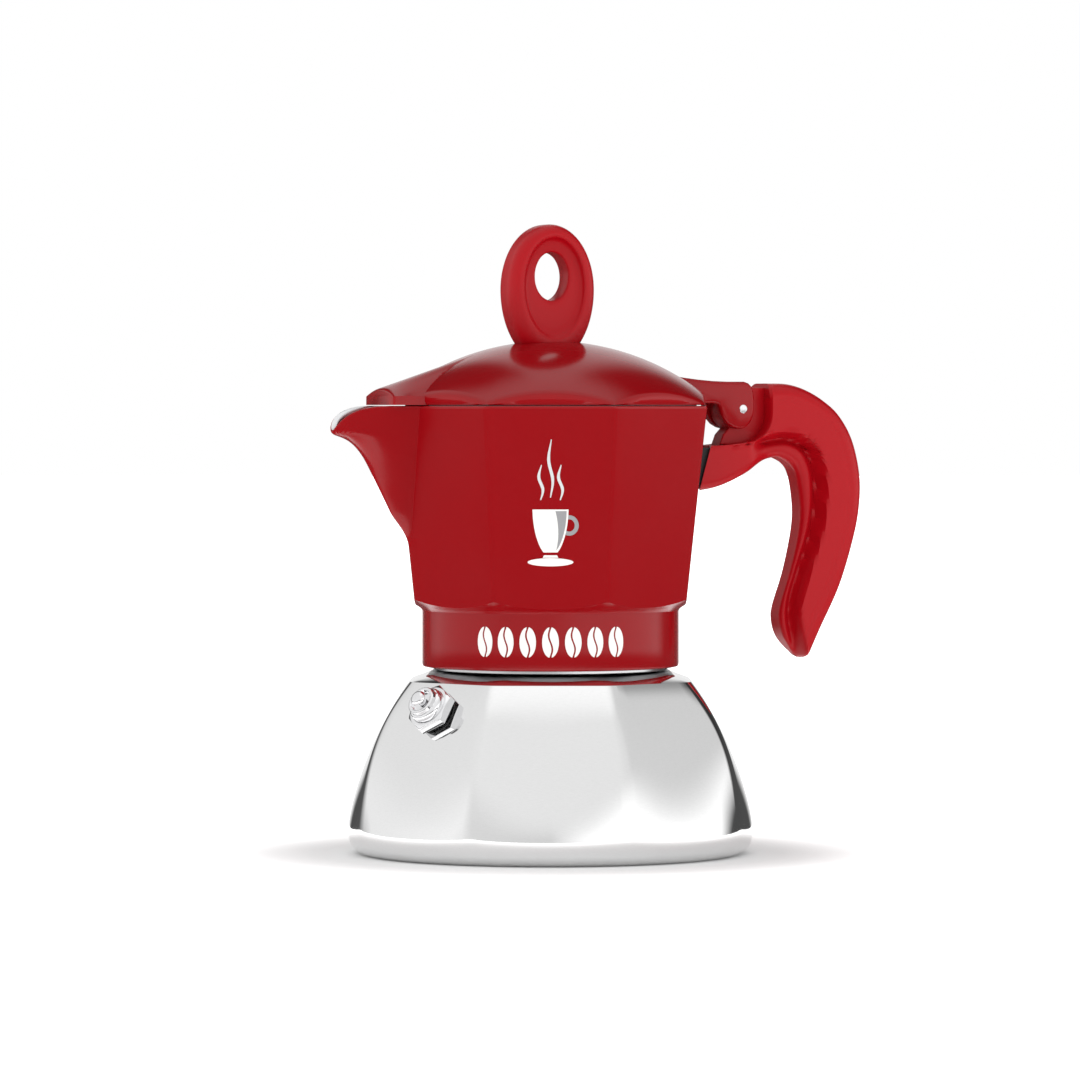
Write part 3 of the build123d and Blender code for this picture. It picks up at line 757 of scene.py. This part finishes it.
def handle_grip():
    """Hooked handle: full width along its outside, thinner along its inside, with rounded edges."""
    along = 150
    across = 56
    shift = (1 - np.cos(np.linspace(0, math.pi, across))) / 2
    outer = resample(OUTER_LINE, along)
    inner = resample(INNER_LINE, along)
    root = resample(ROOT_LINE, 400)[np.round(shift * 399).astype(int)]
    tip = resample(TIP_LINE, 400)[np.round(shift * 399).astype(int)]
    u = shift[None, :, None]
    s = np.linspace(0, 1, along)[:, None, None]
    field = ((1 - u) * inner[:, None] + u * outer[:, None] + (1 - s) * root[None] + s * tip[None]
             - ((1 - s) * (1 - u) * inner[0] + (1 - s) * u * outer[0]
                + s * (1 - u) * inner[-1] + s * u * outer[-1]))
    flat = field.reshape(-1, 2)
    from_inner = distance_to(flat, np.vstack([INNER_LINE, TIP_LINE[:20]]))
    from_outer = distance_to(flat, np.vstack([OUTER_LINE, TIP_LINE[20:][::-1]]))
    from_root = distance_to(flat, ROOT_LINE)
    grip = smoothstep(51, 58, flat[:, 0])
    into = beyond(flat, STEP_LINE)
    sunk = (HANDLE_HALF - HANDLE_INNER_HALF) * smoothstep(-0.3, 1.5, into)
    groove = 1.5 * np.exp(-(((into - 1.7) / 1.1) ** 2))
    half = HANDLE_HALF - (sunk + groove) * grip
    crease = np.exp(-(((from_outer - 4.0) / 0.28) ** 2)) * 0.16 * smoothstep(57, 60, flat[:, 0])
    half = half - crease
    for distance, radius in ((from_outer, 3.6), (from_inner, 2.2), (from_root, 0.7)):
        near = np.clip(radius - distance, 0, radius)
        half = half - (radius - np.sqrt(np.maximum(radius**2 - near**2, 0)))
    half = half.reshape(along, across)
    vertices = []
    faces = []
    for side in (-1, 1):
        for i in range(along):
            for j in range(across):
                vertices.append((field[i, j, 0], side * half[i, j], field[i, j, 1]))
    plane = along * across
    for i in range(along - 1):
        for j in range(across - 1):
            a = i * across + j
            faces.append((a, a + 1, a + across + 1, a + across))
            faces.append((plane + a, plane + a + across, plane + a + across + 1, plane + a + 1))
    edge = [(i, 0) for i in range(along)] + [(along - 1, j) for j in range(1, across)]
    edge += [(i, across - 1) for i in range(along - 2, -1, -1)] + [(0, j) for j in range(across - 2, 0, -1)]
    ids = [i * across + j for i, j in edge]
    for a, b in zip(ids, ids[1:] + ids[:1]):
        faces.append((a, b, plane + b, plane + a))
    piece = make_object("handle_grip", vertices, faces, sharp_deg=40)
    return crisp(combine(piece, root_notch(), "DIFFERENCE"), 40)


def handle_tongue():
    """Knuckle of the handle between the fork's ears."""
    turn = np.linspace(math.pi / 2, 3 * math.pi / 2 - 0.5, 28)
    knuckle = [(PIN_X + KNUCKLE_R * math.cos(t), PIN_Z + KNUCKLE_R * math.sin(t)) for t in turn]
    outline = knuckle + [(PIN_X - 4.2, 104.5), (PIN_X - 5.0, 102.0), (PIN_X + 3, 101.5), (59.5, 104),
                         (60, 110),
                         (59.0, PIN_Z + KNUCKLE_R)]
    return slab("handle_tongue", outline, TONGUE_HALF, 0.5)


# ------------------------------------------------------------------ safety valve
VALVE_TURN = math.radians(202.5)
VALVE_RISE = math.radians(33)
VALVE_R = 39.6
VALVE_Z = 36.3
HEX_HALF = 5.6
HEX_H = 2.4
HEX_LOW = 1.0
VALVE_AROUND = 96


def onto_valve(piece):
    """Moves a piece made about Z onto the valve's axis, which leaves the boiler wall at right angles."""
    out = Vector((math.cos(VALVE_TURN), math.sin(VALVE_TURN), 0))
    axis = out * math.cos(VALVE_RISE) + Vector((0, 0, math.sin(VALVE_RISE)))
    side = Vector((-math.sin(VALVE_TURN), math.cos(VALVE_TURN), 0))
    down = side.cross(axis)
    place = out * VALVE_R * MM + Vector((0, 0, VALVE_Z * MM))
    for vertex in piece.data.vertices:
        x, y, z = vertex.co
        vertex.co = place + down * x + side * y + axis * z
    return piece


def hex_ring(half, limit, height):
    """Ring on a hexagon of half its width across flats, cut off by a circle of radius limit."""
    turns = np.linspace(0, 2 * math.pi, VALVE_AROUND, endpoint=False)
    off_flat = (turns + math.pi / 6) % (math.pi / 3) - math.pi / 6
    reach = np.minimum(half / np.cos(math.pi / 6 - np.abs(off_flat)), limit)
    return np.column_stack([reach * np.cos(turns), reach * np.sin(turns), np.full(VALVE_AROUND, height)])


def hex_rings(half, low, high, chamfered_low=False):
    """Rings up a hexagonal block with its upper corners turned off at 30 degrees."""
    corner = half / math.cos(math.pi / 6)
    slope = math.tan(math.pi / 6)
    lower = [(half * 0.97, low), (half * 0.995, low + 0.05)] if chamfered_low else []
    rings = [hex_ring(half, radius, z) for radius, z in lower]
    rings.append(hex_ring(half - 0.05, corner, low if not chamfered_low else low + 0.1))
    rings.append(hex_ring(half, corner, low + 0.08 if not chamfered_low else low + 0.2))
    for share in np.linspace(0, 1, 9):
        radius = corner + (half * 0.975 - corner) * share
        z = high - 0.03 - (radius - half * 0.975) * slope
        rings.append(hex_ring(half, radius, z))
    rings.append(hex_ring(half, half * 0.955, high))
    return rings


def level_rings(profile):
    """Rings of a turned profile with as many points as a hexagon's ring."""
    turns = np.linspace(0, 2 * math.pi, VALVE_AROUND, endpoint=False)
    return [round_ring(radius, height, turns) for radius, height in profile]


def valve_washer():
    """Black washer between the boiler's wall and the hexagon."""
    profile = [(4.1, 0.3), (5.1, 0.3), (5.25, 0.42), (5.3, 0.65), (5.25, 0.9), (5.1, HEX_LOW), (4.1, HEX_LOW)]
    return onto_valve(lathe("valve_washer_ring", profile, loop=True))


def valve_body():
    """Shank, hexagon and stepped nose, hollow for the spring and the rod."""
    shank = [(1.5, -6.8), (3.6, -6.8), (4.0, -6.4), (4.0, HEX_LOW)]
    high = HEX_LOW + HEX_H
    nose = [(4.75, high), (4.6, high + 0.12), (4.6, 4.4), (4.5, 4.62), (4.3, 4.95), (4.1, 5.05),
            (3.9, 5.1), (3.75, 5.25),
            (3.75, 6.25), (3.6, 6.45), (3.45, 6.5), (3.05, 6.5), (2.92, 6.42), (2.9, 6.25), (2.9, 5.4),
            (2.8, 5.3),
            (1.25, 5.3), (1.05, 5.2), (1.05, 4.2), (2.6, 4.2), (2.6, -4.6), (1.5, -4.6)]
    rings = level_rings(shank) + hex_rings(HEX_HALF, HEX_LOW, high) + level_rings(nose)
    return onto_valve(skin("valve_body_turned", rings, loop=True, sharp_deg=35))


def valve_piston():
    """Rod with its plug and a rounded head."""
    profile = [(0.4, -4.0), (2.2, -4.0), (2.2, -3.0), (1.0, -2.95), (1.0, 6.65), (1.25, 6.75), (1.62, 6.8),
               (1.85, 6.9), (1.98, 7.15), (1.95, 7.45), (1.75, 7.9), (1.45, 8.17), (1.0, 8.28), (0.4, 8.3)]
    return onto_valve(lathe("valve_piston_turned", profile, around=64))


# ------------------------------------------------------------------ enamel motifs
MOTIF_THICK = 0.12


def plate_on(name, outlines, place, holes=(), thick=MOTIF_THICK):
    """Thin raised enamel shapes from flat outlines, put on the pot's surface by place(across, up, proud)."""
    curve = bpy.data.curves.new(name, "CURVE")
    curve.dimensions = "2D"
    curve.fill_mode = "BOTH"
    for outline in [*outlines, *holes]:
        spline = curve.splines.new("POLY")
        spline.points.add(len(outline) - 1)
        for point, (across, up) in zip(spline.points, outline):
            point.co = (across, up, 0, 1)
        spline.use_cyclic_u = True
    curve.extrude = 0.5
    flat = bpy.data.objects.new(name, curve)
    bpy.context.scene.collection.objects.link(flat)
    graph = bpy.context.evaluated_depsgraph_get()
    mesh = bpy.data.meshes.new_from_object(flat.evaluated_get(graph))
    bpy.data.objects.remove(flat)
    work = bmesh.new()
    work.from_mesh(mesh)
    bmesh.ops.remove_doubles(work, verts=work.verts, dist=1e-5)
    for vertex in work.verts:
        across, up, side = vertex.co
        proud = thick if side > 0 else -0.1
        vertex.co = Vector(place(across, up, proud)) * MM
    bmesh.ops.recalc_face_normals(work, faces=work.faces)
    work.to_mesh(mesh)
    work.free()
    piece = bpy.data.objects.new(name, mesh)
    bpy.context.scene.collection.objects.link(piece)
    return crisp(piece)


FRONT_TURN = math.radians(247.5)


def on_facet(across, up, proud):
    """Place on the collector's front facet; across runs to the right as seen from outside."""
    reach = can_apothem(up) + proud
    return (
        reach * math.cos(FRONT_TURN) - across * math.sin(FRONT_TURN),
        reach * math.sin(FRONT_TURN) + across * math.cos(FRONT_TURN),
        up,
    )


def on_band(across, up, proud):
    """Place on the round band under the facet."""
    turn = FRONT_TURN + across / BAND_R
    return ((BAND_R + proud) * math.cos(turn), (BAND_R + proud) * math.sin(turn), up)


def oval(centre, half_width, half_height, tilt=0.0, start=0, end=360, count=40):
    """Points round an ellipse or an arc of one."""
    turns = np.radians(np.linspace(start, end, count, endpoint=abs(end - start) < 360))
    points = np.column_stack([half_width * np.cos(turns), half_height * np.sin(turns)])
    c, s = math.cos(tilt), math.sin(tilt)
    return points @ np.array([[c, s], [-s, c]]) + np.array(centre)


def ribbon(points, widths):
    """Outline of a band that follows a line, with a width at each point."""
    line = smooth_line(points, 24)
    ahead = np.gradient(line, axis=0)
    normals = np.stack([-ahead[:, 1], ahead[:, 0]], axis=1)
    normals /= np.linalg.norm(normals, axis=1)[:, None]
    half = np.interp(np.linspace(0, 1, 24), np.linspace(0, 1, len(widths)), widths)[:, None] / 2
    return np.vstack([line + normals * half, (line - normals * half)[::-1]])


def steaming_cup():
    """Plain cup on a saucer with three curls of steam: (bowl, saucer, foot, steam)."""
    bowl = np.vstack([[(-4.4, 86.5), (4.4, 86.5)],
                      bezier([(4.4, 86.5), (4.3, 80.5), (2.6, 77.0), (1.7, 76.0)], 12)[1:],
                      bezier([(-1.7, 76.0), (-2.6, 77.0), (-4.3, 80.5), (-4.4, 86.5)], 12)[:-1]])
    saucer = oval((0, 73.6), 5.6, 1.0)
    foot = [(-1.6, 75.3), (1.6, 75.3), (1.9, 74.7), (-1.9, 74.7)]
    steam = []
    for across, low, high in [(-2.4, 88.8, 97.4), (0.0, 89.4, 103.6), (2.4, 88.8, 97.4)]:
        rise = high - low
        points = [(across, low), (across + 0.55, low + rise * 0.3), (across - 0.45, low + rise * 0.65),
                  (across + 0.2, high)]
        steam.append(ribbon(points, [0.25, 0.75, 0.75, 0.2]))
    return bowl, saucer, foot, steam


def motif():
    """The facet's enamel motif as separate white, grey and pale pieces."""
    bowl, saucer, foot, steam = steaming_cup()
    ear_outer = oval((4.6, 82.6), 2.3, 2.5)
    ear_inner = oval((4.6, 82.6), 1.3, 1.5)
    shade = np.vstack([[(1.2, 86.1), (3.95, 86.1)],
                       bezier([(3.95, 86.1), (3.85, 81.0), (2.4, 77.6), (1.4, 76.5)], 12)[1:],
                       bezier([(1.4, 76.5), (2.2, 79.5), (2.0, 83.0), (1.2, 86.1)], 10)[1:-1]])
    white = plate_on("motif_cup", [bowl, foot], on_facet)
    grey = plate_on("motif_shade", [shade], on_facet, thick=MOTIF_THICK + 0.03)
    saucer_piece = plate_on("motif_saucer", [saucer], on_facet)
    handle_piece = plate_on("motif_ear", [ear_outer], on_facet, holes=[ear_inner], thick=MOTIF_THICK - 0.03)
    vapour = plate_on("motif_steam", steam, on_facet)
    return [white, saucer_piece], [grey, handle_piece], [vapour]


def bean_row():
    """Row of plain coffee beans on the band, each with a curved slit."""
    halves = []
    for index in range(7):
        across = (index - 3) * 5.6
        for side in (-1, 1):
            edge = oval((across, 53.9), 2.05, 3.75, start=90, end=90 - side * 180, count=24)
            slit = [(across + side * 0.22 + 0.45 * math.sin(2 * math.pi * s), 53.9 + 3.5 * (2 * s - 1))
                    for s in np.linspace(0.04, 0.96, 14)]
            if side < 0:
                edge = oval((across, 53.9), 2.05, 3.75, start=90, end=270, count=24)
            halves.append(np.vstack([edge[1:-1], slit]))
    return plate_on("band_beans", halves, on_band)


# ------------------------------------------------------------------ materials
def socket_values(node, values):
    for name, value in values.items():
        node.inputs[name].default_value = value


def material(name, colour, roughness, spread=0.04, grain=700.0, bump=0.0, stretch=(1, 1, 1), mottle=0.06,
             **values):
    """Principled material with fine procedural changes of colour, roughness and height."""
    made = bpy.data.materials.new(name)
    made.use_nodes = True
    nodes = made.node_tree.nodes
    links = made.node_tree.links
    shader = nodes["Principled BSDF"]
    socket_values(shader, {key.replace("_", " "): value for key, value in values.items()})
    place = nodes.new("ShaderNodeTexCoord")
    scale = nodes.new("ShaderNodeMapping")
    scale.inputs["Scale"].default_value = stretch
    links.new(place.outputs["Object"], scale.inputs["Vector"])
    noise = nodes.new("ShaderNodeTexNoise")
    socket_values(noise, {"Scale": grain, "Detail": 4.0, "Roughness": 0.6})
    links.new(scale.outputs["Vector"], noise.inputs["Vector"])
    broad = nodes.new("ShaderNodeTexNoise")
    socket_values(broad, {"Scale": 55.0, "Detail": 3.0, "Roughness": 0.5})
    links.new(place.outputs["Object"], broad.inputs["Vector"])
    rough = nodes.new("ShaderNodeMapRange")
    socket_values(rough, {"To Min": max(roughness - spread, 0.01), "To Max": roughness + spread})
    links.new(broad.outputs["Fac"], rough.inputs["Value"])
    links.new(rough.outputs["Result"], shader.inputs["Roughness"])
    tint = nodes.new("ShaderNodeMix")
    tint.data_type = "RGBA"
    tint.inputs["A"].default_value = (*(c * (1 - mottle) for c in colour), 1)
    tint.inputs["B"].default_value = (*(min(c * (1 + mottle), 1) for c in colour), 1)
    links.new(noise.outputs["Fac"], tint.inputs["Factor"])
    links.new(tint.outputs["Result"], shader.inputs["Base Color"])
    if bump:
        relief = nodes.new("ShaderNodeBump")
        socket_values(relief, {"Strength": 1.0, "Distance": bump * MM})
        links.new(noise.outputs["Fac"], relief.inputs["Height"])
        links.new(relief.outputs["Normal"], shader.inputs["Normal"])
    return made


red_paint = material("gloss_red_enamel", (0.265, 0.001, 0.0035), 0.17, 0.03, 350, 0.0012, mottle=0.03,
                     Specular_IOR_Level=0.3)
soft_red = material("soft_touch_red", (0.38, 0.0015, 0.006), 0.34, 0.05, 2600, 0.003, mottle=0.05,
                    Specular_IOR_Level=0.22)
steel = material("polished_steel", (0.80, 0.80, 0.80), 0.06, 0.02, 900, 0.0, (1, 1, 12), Metallic=1.0)
bare_aluminium = material("cast_aluminium", (0.74, 0.74, 0.75), 0.34, 0.07, 1400, 0.006, Metallic=1.0)
turned_aluminium = material("turned_aluminium", (0.76, 0.76, 0.77), 0.24, 0.05, 500, 0.002, (1, 1, 18),
                            Metallic=1.0)
chrome = material("valve_chrome", (0.82, 0.82, 0.83), 0.10, 0.03, 1500, 0.0005, Metallic=1.0)
brass = material("nut_brass", (0.71, 0.48, 0.18), 0.26, 0.06, 1500, 0.001, Metallic=1.0)
pin_steel = material("pin_steel", (0.70, 0.70, 0.71), 0.20, 0.05, 2500, 0.001, Metallic=1.0)
silicone = material("pale_silicone", (0.78, 0.77, 0.73), 0.48, 0.06, 1800, 0.002, Subsurface_Weight=0.1)
rubber = material("black_rubber", (0.015, 0.015, 0.016), 0.55, 0.08, 3000, 0.003)
white_enamel = material("white_enamel", (0.84, 0.83, 0.80), 0.30, 0.05, 1500, 0.001)
grey_enamel = material("grey_enamel", (0.30, 0.30, 0.31), 0.32, 0.05, 1500, 0.001)
pale_enamel = material("pale_enamel", (0.62, 0.62, 0.62), 0.32, 0.05, 1500, 0.001)


def keep(node, finish):
    """A CAD node whose shape is right gets its material."""
    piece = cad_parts[node]
    piece.data.materials.clear()
    piece.data.materials.append(finish)


# ------------------------------------------------------------------ assembly
dress(boiler_jacket(), "boiler", "polished_steel", ["boiler_jacket"], steel)
dress(boiler_liner(), "boiler", "bare_aluminium", ["boiler_liner"], turned_aluminium)
dress(valve_washer(), "boiler", "black_rubber", ["valve_washer"], rubber)
dress(valve_body(), "boiler", "valve_chrome", ["valve_body"], chrome)
dress(valve_piston(), "valve_stem", "valve_chrome", ["valve_piston"], chrome)
dress(collector_can(), "collector", "red_paint", ["collector_body"], red_paint, bare_aluminium)
dress(coffee_column(), "collector", "bare_aluminium", ["collector_body"], bare_aluminium)
dress(screw_boss(), "collector", "bare_aluminium", ["collector_body"], bare_aluminium)
dress(lid_shell(), "lid", "red_paint", ["lid"], red_paint)
dress(hinge_pin(), "collector", "pin_steel", ["hinge_pin"], pin_steel)
dress(knob_ring(), "lid", "red_soft_touch", ["knob"], soft_red)
dress(handle_grip(), "collector", "red_soft_touch", ["handle"], soft_red)
dress(handle_tongue(), "collector", "red_soft_touch", ["handle"], soft_red)
whites, greys, pales = motif()
for piece in whites:
    dress(piece, "collector", "red_paint", [], white_enamel)
for piece in greys:
    dress(piece, "collector", "red_paint", [], grey_enamel)
for piece in pales:
    dress(piece, "collector", "red_paint", [], pale_enamel)
dress(bean_row(), "collector", "red_paint", [], white_enamel)

keep("valve_nut", brass)
keep("valve_seal", silicone)
keep("valve_spring", pin_steel)
keep("funnel_cup", turned_aluminium)
keep("funnel_stem", turned_aluminium)
keep("funnel_screen", turned_aluminium)
keep("gasket", silicone)
keep("filter_plate", turned_aluminium)
keep("knob_screw", pin_steel)
keep("knob_washer", pin_steel)
keep("handle_spacer", rubber)
keep("handle_screw", pin_steel)


# ------------------------------------------------------------------ floor, light and camera
CAMERA_TURN = FRONT_TURN
CAMERA_DISTANCE = 1.5
ROOF = 1.2


def floor():
    """Plain pale floor: matt round the pot, glowing faintly white further out so that it has no horizon."""
    pale = bpy.data.materials.new("pale_floor")
    pale.use_nodes = True
    nodes = pale.node_tree.nodes
    links = pale.node_tree.links
    shader = nodes["Principled BSDF"]
    socket_values(shader, {"Base Color": (0.92, 0.92, 0.92, 1), "Roughness": 0.9, "Specular IOR Level": 0.0,
                           "Emission Color": (1, 1, 1, 1)})
    place = nodes.new("ShaderNodeTexCoord")
    reach = nodes.new("ShaderNodeVectorMath")
    reach.operation = "LENGTH"
    links.new(place.outputs["Object"], reach.inputs[0])
    glow = nodes.new("ShaderNodeMapRange")
    glow.interpolation_type = "SMOOTHSTEP"
    socket_values(glow, {"From Min": 0.054, "From Max": 0.11, "To Min": 0.03, "To Max": 1.0})
    links.new(reach.outputs["Value"], glow.inputs["Value"])
    links.new(glow.outputs["Result"], shader.inputs["Emission Strength"])
    for name, radius, level in (("floor", 0.16, 0), ("floor_beyond", 8, -0.0001)):
        bpy.ops.mesh.primitive_circle_add(vertices=128, radius=radius, fill_type="NGON",
                                          location=(0, 0, level))
        ground = bpy.context.object
        ground.name = name
        ground.visible_glossy = radius < 1
        ground.data.materials.append(pale)


# brightness of the surroundings round the pot, by degrees to the right of the camera's side
ROUND_ABOVE = [
    (-180, 0.95), (-171, 0.95), (-166, 0.04), (-150, 0.04), (-140, 0.8), (-108, 0.92), (-60, 0.95),
    (-25, 0.98),
    (25, 0.96), (60, 0.88), (75, 0.80), (112, 0.76), (120, 0.04), (162, 0.03), (170, 0.95), (180, 0.95),
]
ROUND_LEVEL = [
    (-180, 0.9), (-168, 0.9), (-160, 0.08), (-140, 0.10), (-120, 1.0), (-60, 1.1), (-45, 0.85),
    (0, 0.8), (15, 1.2),
    (30, 1.5), (110, 1.5), (122, 0.08), (160, 0.08), (170, 0.9), (180, 0.9),
]


def surroundings(tree, stops, azimuth):
    """Brightness that changes with azimuth as the stops say."""
    ramp = tree.nodes.new("ShaderNodeFloatCurve")
    curve = ramp.mapping.curves[0]
    ramp.mapping.extend = "HORIZONTAL"
    for degrees, brightness in stops[1:-1]:
        curve.points.new((degrees + 180) / 360, brightness / 2)
    curve.points[0].location = (0, stops[0][1] / 2)
    curve.points[-1].location = (1, stops[-1][1] / 2)
    for point in curve.points:
        point.handle_type = "VECTOR"
    ramp.mapping.update()
    tree.links.new(azimuth, ramp.inputs["Value"])
    return ramp.outputs["Value"]


def calculate(tree, operation, *inputs):
    """Math node over numbers and sockets."""
    node = tree.nodes.new("ShaderNodeMath")
    node.operation = operation
    for socket, value in zip(node.inputs, inputs):
        if isinstance(value, (int, float)):
            socket.default_value = value
        else:
            tree.links.new(value, socket)
    return node.outputs[0]


def share_between(tree, value, low, high):
    """0 to 1 smoothly as value goes from low to high."""
    node = tree.nodes.new("ShaderNodeMapRange")
    node.interpolation_type = "SMOOTHSTEP"
    socket_values(node, {"From Min": low, "From Max": high})
    tree.links.new(value, node.inputs["Value"])
    return node.outputs["Result"]


def mixed(tree, share, a, b):
    """a where share is 0 and b where it is 1."""
    node = tree.nodes.new("ShaderNodeMix")
    for socket, value in ((node.inputs["Factor"], share), (node.inputs["A"], a), (node.inputs["B"], b)):
        if isinstance(value, (int, float)):
            socket.default_value = value
        else:
            tree.links.new(value, socket)
    return node.outputs["Result"]


def studio():
    """Soft white room: bright above and in front, dark to the sides behind, plain white to the camera."""
    world = bpy.data.worlds.new("studio")
    world.use_nodes = True
    tree = world.node_tree
    place = tree.nodes.new("ShaderNodeTexCoord")
    parts = []
    for turn in (CAMERA_TURN, CAMERA_TURN + math.pi / 2):
        dot = tree.nodes.new("ShaderNodeVectorMath")
        dot.operation = "DOT_PRODUCT"
        dot.inputs[1].default_value = (math.cos(turn), math.sin(turn), 0)
        tree.links.new(place.outputs["Generated"], dot.inputs[0])
        parts.append(dot.outputs["Value"])
    front, right = parts
    split = tree.nodes.new("ShaderNodeSeparateXYZ")
    tree.links.new(place.outputs["Generated"], split.inputs[0])
    height = split.outputs["Z"]
    angle = calculate(tree, "ARCTAN2", right, front)
    azimuth = calculate(tree, "MULTIPLY_ADD", angle, 1 / (2 * math.pi), 0.5)
    above = surroundings(tree, ROUND_ABOVE, azimuth)
    level = surroundings(tree, ROUND_LEVEL, azimuth)
    walls = mixed(tree, share_between(tree, height, 0.08, 0.42), level, above)
    room = mixed(tree, share_between(tree, height, 0.8, 0.95), walls, ROOF / 2)
    lit = mixed(tree, share_between(tree, height, -0.16, -0.04), 0.04, room)
    light = calculate(tree, "MULTIPLY", lit, 2.0)
    ray = tree.nodes.new("ShaderNodeLightPath")
    shown = mixed(tree, ray.outputs["Is Camera Ray"], light, 1.0)
    tree.nodes["Background"].inputs["Color"].default_value = (1, 1, 1, 1)
    tree.links.new(shown, tree.nodes["Background"].inputs["Strength"])
    bpy.context.scene.world = world
    bpy.context.scene.view_settings.view_transform = "Standard"


def camera():
    """Long lens at the height of the rim, on the front facet's side."""
    data = bpy.data.cameras.new("camera")
    data.sensor_width = 36
    data.clip_end = 50
    eye = bpy.data.objects.new("camera", data)
    bpy.context.scene.collection.objects.link(eye)
    back = Vector((math.cos(CAMERA_TURN), math.sin(CAMERA_TURN), 0))
    eye.location = back * CAMERA_DISTANCE + Vector((0, 0, 0.112))
    eye.rotation_euler = (math.radians(90), 0, CAMERA_TURN + math.radians(90))
    data.lens = 36 * CAMERA_DISTANCE / (1080 * 0.25 * MM)
    data.shift_x = (540 - 550.5) / 1080
    data.shift_y = -(540 - 405) / 1080
    bpy.context.scene.camera = eye


floor()
studio()
camera()
